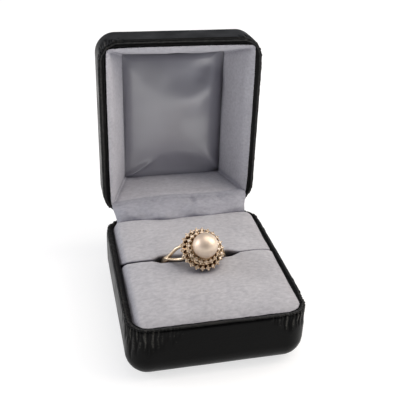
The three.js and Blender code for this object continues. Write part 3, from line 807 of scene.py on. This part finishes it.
def lining():
    columns = around(6, 50, 130)
    outside = [box_outline(columns, LINING_OUTER, 9.5), box_outline(columns, LINING_OUTER, 0.75)]
    face = [lid_opening(columns, share) for share in np.linspace(0, 1, 41) ** 1.4]
    back = [box_outline(columns, LINING_FOOT, FOOT["depth"])]
    points, faces = skin(outside + face + back, ring_rows=True)
    at_crease = smooth_step(points[:, 1], 5, 21) * np.clip(1 - points[:, 2] / FOOT["depth"], 0, 1)
    points[:, 1] -= at_crease * (crease_height(points[:, 0]) - 21.3)
    soft = smooth_step(points[:, 2], 0.6, 3) * (points[:, 2] < 12)
    points[:, 0] += soft * 0.25 * rough(points, 6, 6.0)
    points[:, 1] += soft * 0.25 * rough(points, 6, 7.0)
    edge = bell(points[:, 2] - 0.3, 0.9)
    mouth = face[0][:, :2]
    run = np.cumsum(np.linalg.norm(mouth - np.roll(mouth, 1, 0), axis=1))
    rib = np.tile(np.sin(run * math.tau / RIB_SPACING), len(points) // len(columns))
    knit = 0.04 * rib + 0.09 * rough(points, 0.5, 8.0)
    points[:, 2] += edge * (knit + 0.2 * rough(points, 6, 9.0))
    points[:, :2] *= 1 + (edge * knit / 22)[:, None]
    return opened(points), [face[::-1] for face in faces]


lid_lining = piece("lid_velvet_lining", lining(), lining_velvet_painted_lighter, "lid", ["lid_lining"])

# %% [markdown]
# The satin panel is cloth over a thin pad of wadding, tucked in behind the lining. Where it
# is tucked, it pulls into soft folds that run in from the corners. The pearl touches it when
# the box is shut, and the wadding gives way. The panel here keeps the one shape, in a mesh of
# its own.

# %% The satin panel
PANEL_FACE, SATIN_TUCK = 12.8, 1.0  # depth of its face, and how much deeper its edge is tucked
SATIN_DOME = 3.35  # how far the wadding puffs it out
ARCH_TOP, ARCH_BEND = 13.2, 0.034  # the curve along which it sinks again towards the back
SATIN_FOLDS = [  # from near an edge, towards, height (a dip is below 0), half width and length
    ((-15.2, 20.6), (-6.7, 14.6), 1.3, 0.9, 13.0),
    ((15.4, 20.4), (10.5, 12.0), 1.0, 1.9, 13.0),
    ((16.5, -11.5), (5.0, -5.8), 1.85, 5.4, 25.0),
    ((13.0, -18.2), (5.0, -11.5), -0.9, 3.0, 15.0),
    ((-15.4, -19.0), (-9.0, -6.0), 0.5, 2.6, 14.0),
]


def satin_panel():
    xs, ys = np.linspace(-17.5, 17.5, 150), np.linspace(-21.5, 22.3, 180)
    x, y = np.meshgrid(xs, ys)
    middle_y = (FOOT["front"] + FOOT["back"]) / 2
    half_y = (FOOT["back"] - FOOT["front"]) / 2
    in_x, in_y = FOOT["half_x"] - np.abs(x), half_y - np.abs(y - middle_y)
    arch = ARCH_TOP + ARCH_BEND * (x - 0.3) ** 2
    dome = np.clip(1 - (x / FOOT["half_x"]) ** 2, 0, 1)
    dome = dome * np.clip(1 - np.abs((y - middle_y) / half_y) ** 2.4, 0, 1) ** 0.8
    rise = SATIN_DOME * dome * (1 - 0.75 * smooth_step(y - arch, -2.0, 5.5))
    for start, towards, height, half_width, length in SATIN_FOLDS:
        way = np.subtract(towards, start)
        way = way / np.linalg.norm(way)
        along = (x - start[0]) * way[0] + (y - start[1]) * way[1]
        beside = (x - start[0]) * way[1] - (y - start[1]) * way[0]
        spread = half_width * (0.6 + 0.8 * np.clip(along / length, 0, 1))
        run = smooth_step(along, -1, 2 + half_width) * (1 - smooth_step(along, 0.35 * length, length))
        rise = rise + height * run * bell(beside, spread)
    flat = np.column_stack([x.ravel(), y.ravel(), np.zeros(x.size)])
    rise = rise + 0.18 * rough(flat, 6, 14.0).reshape(x.shape)
    inside = smooth_step(np.minimum(in_x, in_y), -0.9, 0.1)
    side_tuck = (1 - smooth_step(in_x, -0.4, np.where(x < 0, 3.0, 5.0))) * np.where(x < 0, 0.5, 1.0)
    end_tuck = (1 - smooth_step(in_y, -0.4, 2.2)) * np.where(y < 0, 0.7, -0.1)
    tuck = SATIN_TUCK * np.maximum(side_tuck, end_tuck)
    depth = np.minimum(PANEL_FACE - rise * inside + tuck, LID_HEIGHT - WALL - GAP)
    grid = np.stack([x, y, depth], 2)
    points, faces = skin(grid, ring_columns=False)
    return opened(points), [face[::-1] for face in faces]


panel = piece("lid_satin_panel", satin_panel(), satin, "lid", ["lid_panel"])
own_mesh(panel)

# %% [markdown]
# ## The hinge flap
#
# A strip of velvet hides the hinge from inside. One edge is tucked behind the rear pad and
# the other is glued into the lid's mouth, so the real strip bends when the lid moves. Here it
# is built as it lies with the lid open, and it rides on neither half. It was cut flat, a little
# wider than it is deep, and it bellies out because it needs slack for the lid to open.

# %% The velvet flap
FLAP_HALF_X, FLAP_COLUMNS, FLAP_STEPS = 21.4, 150, 49
FLAP_TUCK_Y, CREASE_Y = 24.75, 28.2  # its lower edge behind the rear pad, and its upper fold
FLAP_FOOT = (  # (X, Y) where it comes out over the rear pad
    (-21.4, 23.7), (-17.4, 23.6), (-13.5, 23.0), (-6, 21.7), (3, 22.3), (9.4, 22.1),
    (16.4, 23.4), (21.4, 24.3),
)
FLAP_DENTS = ((3.6, 0.5), (12.3, 0.45), (-9.0, 0.3))  # (X, depth) along the crease


def flap_route(x):
    """The strip's section at one place across the box, as (Y, height) points."""
    foot_y = float(np.interp(x, *np.array(FLAP_FOOT).T))
    top = float(crease_height(x))
    foot_z = pad_height(x, foot_y, 1) + 0.05
    foot, crease = np.array([foot_y, foot_z]), np.array([CREASE_Y, top - 0.1])
    out = np.array([foot[1] - crease[1], crease[0] - foot[0]])
    out /= np.linalg.norm(out)
    belly = 0.75 + 0.35 * math.cos(x / 9) + 0.2 * math.sin(x / 2.9)
    face = [foot + (crease - foot) * t + out * (belly * 4 * t * (1 - t) - 0.08 * bell(t - 0.93, 0.09))
            for t in (0.12, 0.25, 0.4, 0.55, 0.7, 0.8, 0.88, 0.93, 0.98)]
    behind = min(foot_y + 1.5, FLAP_TUCK_Y)
    return [
        (FLAP_TUCK_Y, 12.5), (FLAP_TUCK_Y, 14.8), (behind, foot_z - 2.2), (foot_y + 0.2, foot_z - 1.2),
        tuple(foot), *face, tuple(crease), (28.45, top + 0.25), (29.1, top + 0.5),
        (30.0, top + 0.55), (30.9, top + 0.35), (32.0, top - 0.2),
    ]


def hinge_flap():
    rows = []
    for x in np.linspace(-FLAP_HALF_X, FLAP_HALF_X, FLAP_COLUMNS):
        route = np.array(flap_route(x))
        smoothed = []
        for step in np.linspace(0, len(route) - 1, FLAP_STEPS):
            weights = bell(np.arange(len(route)) - step, 0.75)
            smoothed.append((weights[:, None] * route).sum(0) / weights.sum())
        rows.append([(x * (0.955 + 0.045 * smooth_step(y, 24.5, 28)), y, z) for y, z in smoothed])
    points, faces = skin(rows, ring_columns=False)
    shown = smooth_step(points[:, 2], 17.8, 19.0) * (1 - smooth_step(points[:, 1], 27.4, 28.6))
    wrinkle = 0.3 * rough(points * (0.6, 1.4, 1.4), 2.6, 2.0) + 0.55 * rough(points, 6, 5.0)
    points[:, 1] -= wrinkle * shown
    points[:, 2] += 0.8 * wrinkle * shown
    for dent_x, deep in FLAP_DENTS:
        dent = bell(points[:, 0] - dent_x, 0.9) * bell(points[:, 2] - crease_height(dent_x), 0.5)
        points[:, 2] -= deep * dent * (1 - smooth_step(points[:, 1], 28.6, 29.4))
    return points, faces


points, faces = hinge_flap()
flap = piece("hinge_velvet_flap", (points, faces), flap_velvet, None, ["hinge_flap"])
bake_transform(flap)
steps = np.diff(points.reshape(FLAP_COLUMNS, FLAP_STEPS, 3), axis=1)
strip_depth = np.linalg.norm(steps, axis=2).sum(1).mean()
print("the strip is", round(strip_depth, 1), "mm deep when it is laid flat")

# %% [markdown]
# ## The ring
#
# A jeweller builds such a ring from a few kinds of part: wire that is bent, and small solids
# that are turned or cast. Two helpers match them. One turns a profile about Z, and the other
# carries a section along a path, which a bevelled curve would do as well, but here the section
# may also swell and shrink on its way.

# %% Turned parts and bent wire
def oval(steps, half_x, half_y, middle=(0, 0)):
    angles = np.linspace(0, math.tau, steps, endpoint=False)
    return np.column_stack([half_x * np.cos(angles), half_y * np.sin(angles)]) + middle


def turned(profile, sides, hoop=False):
    """Metal turned about Z from (radius, height) points.

    They run from axis to axis, or round the section of a hoop.
    """
    around_z = oval(sides, 1, 1)
    rows = [np.column_stack([r * around_z, np.full(sides, z)]) for r, z in profile]
    return skin(rows, ring_rows=hoop, cap_first=not hoop, cap_last=not hoop)


def swept(path, outward, section):
    """A section of (outward, sideways) points carried along a path, closed at both ends."""
    path, outward = np.asarray(path), np.asarray(outward)
    forward = np.gradient(path, axis=0)
    forward /= np.linalg.norm(forward, axis=1)[:, None]
    out = outward - forward * (outward * forward).sum(1)[:, None]
    out /= np.linalg.norm(out, axis=1)[:, None]
    side = np.cross(forward, out)
    section = np.asarray(section)
    if section.ndim == 2:
        section = np.repeat(section[None], len(path), 0)
    rows = path[:, None] + out[:, None] * section[..., :1] + side[:, None] * section[..., 1:]
    return skin(rows, cap_first=True, cap_last=True)


def moved(shape, matrix):
    points, faces = shape
    turn = np.array(matrix)
    return points @ turn[:3, :3].T + turn[:3, 3], faces


# %% [markdown]
# The band is half round: flat against the finger and domed outside. It ends in a rounded tip
# on each side, and from there two thinner wires run on to each side of the head, so the
# shoulder looks split.

# %% Band and shoulders
RING_RADIUS, BAND_THICKNESS = 8.5, 1.1
SPLIT, HEAD, ROUND_END = math.radians(60), math.radians(25), math.radians(9)  # down from the top
SHOULDER_TOP, SHOULDER_SPREAD = 10.2, 1.75  # where a wire ends: how far out, and to the side
WIRE_HALF_THICKNESS, WIRE_HALF_WIDTH = 0.55, 0.42


def at_angle(angle, radius, sideways=0.0):
    """A point round the finger, at an angle from the top of the ring."""
    return np.array([radius * math.sin(angle), sideways, radius * math.cos(angle)])


def band():
    angles = np.linspace(SPLIT, math.tau - SPLIT, 160)
    path = [at_angle(a, RING_RADIUS + BAND_THICKNESS / 2) for a in angles]
    half_t, half_w = BAND_THICKNESS / 2, BAND_WIDTH / 2
    section = np.array([
        (half_t * math.cos(a) if math.cos(a) > 0 else half_t * max(math.cos(a) * 2, -1),
         half_w * math.sin(a)) for a in np.linspace(0, math.tau, 20, endpoint=False)
    ])
    from_end = np.minimum(angles - SPLIT, math.tau - SPLIT - angles) / ROUND_END
    full = np.sqrt(np.clip(1 - (1 - np.clip(from_end, 0.02, 1)) ** 2, 0, 1))
    return swept(path, [at_angle(a, 1) for a in angles], section * full[:, None, None])


def shoulder(hand, side):
    """One of the four wires: on one hand of the ring, and on one side of the head."""
    start = SPLIT + ROUND_END
    shares = np.linspace(0, 1, 26)
    angles = hand * (start + (HEAD - start) * shares)
    low = RING_RADIUS + BAND_THICKNESS / 2
    radii = low + (SHOULDER_TOP - low) * smooth_step(shares, 0.2, 1)
    aside = side * SHOULDER_SPREAD * smooth_step(shares, -0.15, 0.85)
    path = [at_angle(a, r, w) for a, r, w in zip(angles, radii, aside)]
    section = oval(12, WIRE_HALF_THICKNESS, WIRE_HALF_WIDTH)
    return swept(path, [at_angle(a, 1) for a in angles], section)


hoop_and_wires = [band(), *[shoulder(hand, side) for hand in (-1, 1) for side in (-1, 1)]]
print("finger hole", 2 * RING_RADIUS, "mm; the wires end", round(SHOULDER_TOP * math.cos(HEAD), 1),
      "mm above its centre")

# %% [markdown]
# The halo is two rings of small diamonds, one above and inside the other, each stone in four
# claws. Every setting is the same, so one is built at the origin and set round each tier. The
# settings touch their neighbours, and their gaps are what gives the halo its sparkle: bright
# stone, bright claw and dark recess within a millimetre.

# %% One setting
TIERS = {
    "outer": {"stones": 22, "radius": 5.3, "seat": 9.9, "splay": 18},
    "inner": {"stones": 18, "radius": 4.1, "seat": 11.4, "splay": 9},
}
PEARL_RADIUS, PEARL_HEIGHT = 3.45, 13.95  # its height is its middle's


def basket():
    """The solid foot of a claw setting, narrower than its stone."""
    return turned([(0, -0.7), (0.3, -0.7), (0.34, 0.0), (0.44, 0.3), (0.54, 0.55), (0, 0.5)], 10)


def claws():
    """Four claws that lean out from the foot and close over the stone's edge in a bead."""
    parts = []
    stations = [(0.34, -0.6, 0.14), (0.42, 0.0, 0.15), (0.52, 0.55, 0.15), (0.54, 0.8, 0.21),
                (0.49, 0.98, 0.22), (0.42, 1.1, 0.12)]
    for k in range(4):
        angle = k * math.pi / 2
        path = [(r * math.cos(angle), r * math.sin(angle), z) for r, z, _ in stations]
        outward = [(math.cos(angle), math.sin(angle), 0.3)] * len(path)
        parts.append(swept(path, outward, [oval(7, w, w) for _, _, w in stations]))
    return parts


def cut_stone():
    """A single cut: eight facets round a small table, and eight more that meet below."""
    girdle, table = 0.52, 0.27
    eighths = np.arange(8) / 8 * math.tau
    rows = []
    for radius, z, turn in ((0.02, 0.32, 0), (girdle, 0.75, 0.5), (girdle, 0.79, 0.5), (table, 0.97, 0)):
        angles = eighths + turn * math.tau / 8
        rows.append([(radius * math.cos(a), radius * math.sin(a), z) for a in angles])
    return skin(rows, cap_first=True, cap_last=True)


setting = [basket(), *claws()]
print("one setting has", sum(len(points) for points, _ in setting), "points")

# %% [markdown]
# The two tiers stand on a stepped plate with a groove in it, so that the pearl's own cup
# stands free. Under it, eight posts join the plate to a hoop of wire, the gallery, which is
# what the shoulders are soldered to. A setter never gets two stones quite alike, so each leans
# a few degrees off its axis, and that is why they don't all flash at once.

# %% Halo, seat and gallery
GALLERY_RADIUS, GALLERY_HEIGHT, GALLERY_WIRE = 4.4, 8.95, 0.42  # the last is half the wire
POST_RADIUS, POST_TOP = 0.3, 11.2
STONE_WOBBLE = 9


def set_round(tier, phase, parts, wobble=0):
    """Parts set round a tier. wobble is how many degrees each may lean off its own axis."""
    placed = []
    for k in range(tier["stones"]):
        angle = (k + phase) / tier["stones"] * math.tau
        spot = (
            Matrix.Rotation(angle, 4, "Z")
            @ Matrix.Translation((tier["radius"], 0, tier["seat"]))
            @ Matrix.Rotation(math.radians(tier["splay"]), 4, "Y")
        )
        if wobble:
            lean = math.radians(dice.uniform(0, wobble))
            way = dice.uniform(0, math.tau)
            spot = spot @ Matrix.Rotation(lean, 4, Vector((math.cos(way), math.sin(way), 0)))
        placed += [moved(part, spot) for part in parts]
    return placed


def halo_seat():
    """The stepped plate under the settings, with a deep groove round the pearl's own cup."""
    cup_floor = PEARL_HEIGHT - PEARL_RADIUS - 0.05
    top = [(0, cup_floor), (1.4, cup_floor + 0.3), (2.2, 11.15), (2.5, 11.1), (2.8, 10.5),
           (3.5, 10.6), (3.8, 11.2), (4.4, 11.2), (4.6, 10.3), (5.4, 10.1)]
    under = [(5.4, 9.6), (4.4, 9.4), (3.7, 9.8), (0, 9.75)]
    return turned((top + under)[::-1], 64)


def gallery():
    """A hoop of wire under the halo, and the eight posts that join it to the seat."""
    wire = oval(12, GALLERY_WIRE, GALLERY_WIRE, (GALLERY_RADIUS, GALLERY_HEIGHT))
    post = turned([(0, GALLERY_HEIGHT), (POST_RADIUS, GALLERY_HEIGHT), (POST_RADIUS, POST_TOP),
                   (0, POST_TOP)], 10)
    parts = [turned(wire, 64, hoop=True)]
    for k in range(8):
        angle = (k + 0.5) / 8 * math.tau
        spot = (GALLERY_RADIUS * math.cos(angle), GALLERY_RADIUS * math.sin(angle), 0)
        parts.append(moved(post, Matrix.Translation(spot)))
    return parts


def both_tiers(parts, wobble=0):
    """Parts set round both tiers, the inner one half a step on from the outer."""
    return (set_round(TIERS["outer"], 0, parts, wobble)
            + set_round(TIERS["inner"], 0.5, parts, wobble))


points, faces = joined([*hoop_and_wires, halo_seat(), *gallery(), *both_tiers(setting)])
piece("ring_gold", (in_slot(points), faces), gold, "base", ["ring_mount"])
points, faces = joined(both_tiers([cut_stone()], STONE_WOBBLE))
piece("halo_stones", (in_slot(points), faces), stone, "base", smooth=False)
print("stones in the halo:", sum(tier["stones"] for tier in TIERS.values()))

# %% [markdown]
# A cultured pearl of this kind is a near perfect sphere, held from below on a peg in its cup.
# It is turned from a half circle, so one pole is hidden in the cup. The other is on top, where
# many narrow faces and smooth shading keep it from showing.

# %% The pearl
def pearl():
    profile = [(PEARL_RADIUS * math.sin(a), PEARL_HEIGHT - PEARL_RADIUS * math.cos(a))
               for a in np.linspace(0, math.pi, 49)]
    profile[0] = (0.001, profile[0][1])
    profile[-1] = (0.001, profile[-1][1])
    points, faces = turned(profile, 96)
    return in_slot(points), faces


piece("cultured_pearl", pearl(), pearl_skin, "base", ["pearl"])

# %% [markdown]
# ## The hinge
#
# The hinge is two leaves of brass on a pin, fixed to the back of the box outside, and the flap
# hides it from inside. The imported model's own nodes are already the right shape, so they only
# get their finish.

# %% Brass hinge
for name in ("base_hinge_leaf", "hinge_pin", "lid_hinge_leaf"):
    node = frame["nodes"][name]
    node.data.materials.clear()
    node.data.materials.append(brass)
    print(name, "in brass")

# %% [markdown]
# ## Camera and light
#
# The camera looks down on the box from its front left, and is rolled a little, as one held by
# hand is. Its axes are worked out from those angles: Blender's camera looks along its own -Z.

# %% Camera
SWING, RISE, ROLL = math.radians(-14.0), math.radians(29.75), math.radians(2.507)
CAMERA_PLACE = Vector((-37.83, -149.613, 124.99)) * MM
back = Vector((
    math.sin(SWING) * math.cos(RISE),
    -math.cos(SWING) * math.cos(RISE),
    math.sin(RISE),
))
right = (-back).cross(Vector((0, 0, 1))).normalized()
up = right.cross(-back)
camera = bpy.data.objects.new("camera", bpy.data.cameras.new("camera"))
bpy.context.collection.objects.link(camera)
camera.data.lens = 59.6
camera.data.clip_start, camera.data.clip_end = 0.01, 20
axes = Matrix((
    math.cos(ROLL) * right + math.sin(ROLL) * up,
    -math.sin(ROLL) * right + math.cos(ROLL) * up,
    back,
)).transposed()
camera.matrix_world = Matrix.Translation(CAMERA_PLACE) @ axes.to_4x4()
bpy.context.scene.camera = camera
print("camera", round(CAMERA_PLACE.length / MM), "mm from the box, lens", camera.data.lens, "mm")

# %% [markdown]
# The box stands on a light table, a sheet of white acrylic that is lit from below. That keeps
# the ground white and leaves only a faint shadow, so the acrylic is given some light of its
# own. It is not part of the object, and no body of the frame carries it.

# %% Light table
FLOOR_REACH = 3
floor_mesh = bpy.data.meshes.new("floor")
floor_corners = [(x * FLOOR_REACH, y * FLOOR_REACH, 0) for x, y in ((-1, -1), (1, -1), (1, 1), (-1, 1))]
floor_mesh.from_pydata(floor_corners, [], [(0, 1, 2, 3)])
floor = bpy.data.objects.new("floor", floor_mesh)
bpy.context.collection.objects.link(floor)
light_table = new_material("lit_white_acrylic", {
    "Base Color": colour("#b0b0b0"), "Roughness": 0.9, "Emission Color": colour("#ffffff"),
    "Emission Strength": 0.68,
})[0]
floor_mesh.materials.append(light_table)

# %% [markdown]
# Three softboxes light the box: a large warm one high on the right, a smaller, cooler one on
# the left and a large one overhead.

# %% Softboxes
def soft_light(name, place, size, power, tint):
    """A square area light that points at the ring."""
    lamp = bpy.data.lights.new(name, "AREA")
    lamp.shape, lamp.size, lamp.energy = "SQUARE", size, power
    lamp.color = colour(tint)[:3]
    holder = bpy.data.objects.new(name, lamp)
    bpy.context.collection.objects.link(holder)
    holder.location = place
    aim = Vector((0, 0, 0.02)) - Vector(place)
    holder.rotation_mode = "QUATERNION"
    holder.rotation_quaternion = aim.to_track_quat("-Z", "Y")
    print(name, "gives", power, "W from", round(aim.length, 2), "m")


soft_light("right_softbox", (0.5, -0.06, 0.42), 0.46, 2.4, "#fff6ea")
soft_light("left_softbox", (-0.52, 0.12, 0.22), 0.32, 1.3, "#fbfbff")
soft_light("top_softbox", (0.14, 0.05, 0.68), 0.46, 1.4, "#fff8ee")

# %% [markdown]
# Jewellery is lit in a tent of white cloth, so that the metal has something pale to mirror.
# The sky stands for that tent. Its front half is brighter, and the opening for the camera is
# the dark patch that shows in the middle of the pearl.

# %% Light tent
world = bpy.data.worlds.new("light_tent")
world.use_nodes = True
sky = world.node_tree
towards = add_node(sky, "TexCoord", {}, "Generated")


def sky_share(direction, start, end, low, high):
    """A share that goes from low to high as the sky nears a direction."""
    near = add_node(sky, "VectorMath", {0: towards, 1: direction}, "Value", operation="DOT_PRODUCT")
    return add_node(sky, "MapRange", {"Value": near, "From Min": start, "From Max": end,
                                      "To Min": low, "To Max": high})


tent = sky_share((0, -1, 0), -0.4, 0.4, 0.4, 0.62)
opening = sky_share((-0.21, -0.84, 0.5), 0.7, 0.95, 1.0, 0.05)
lit = add_node(sky, "Math", {0: tent, 1: opening}, operation="MULTIPLY")
feed(sky, sky.nodes["Background"], {"Strength": lit, "Color": colour("#f3f5fd")})
bpy.context.scene.world = world
bpy.context.scene.view_settings.view_transform = "Standard"
print(world.name, "is made of", len(sky.nodes), "nodes")
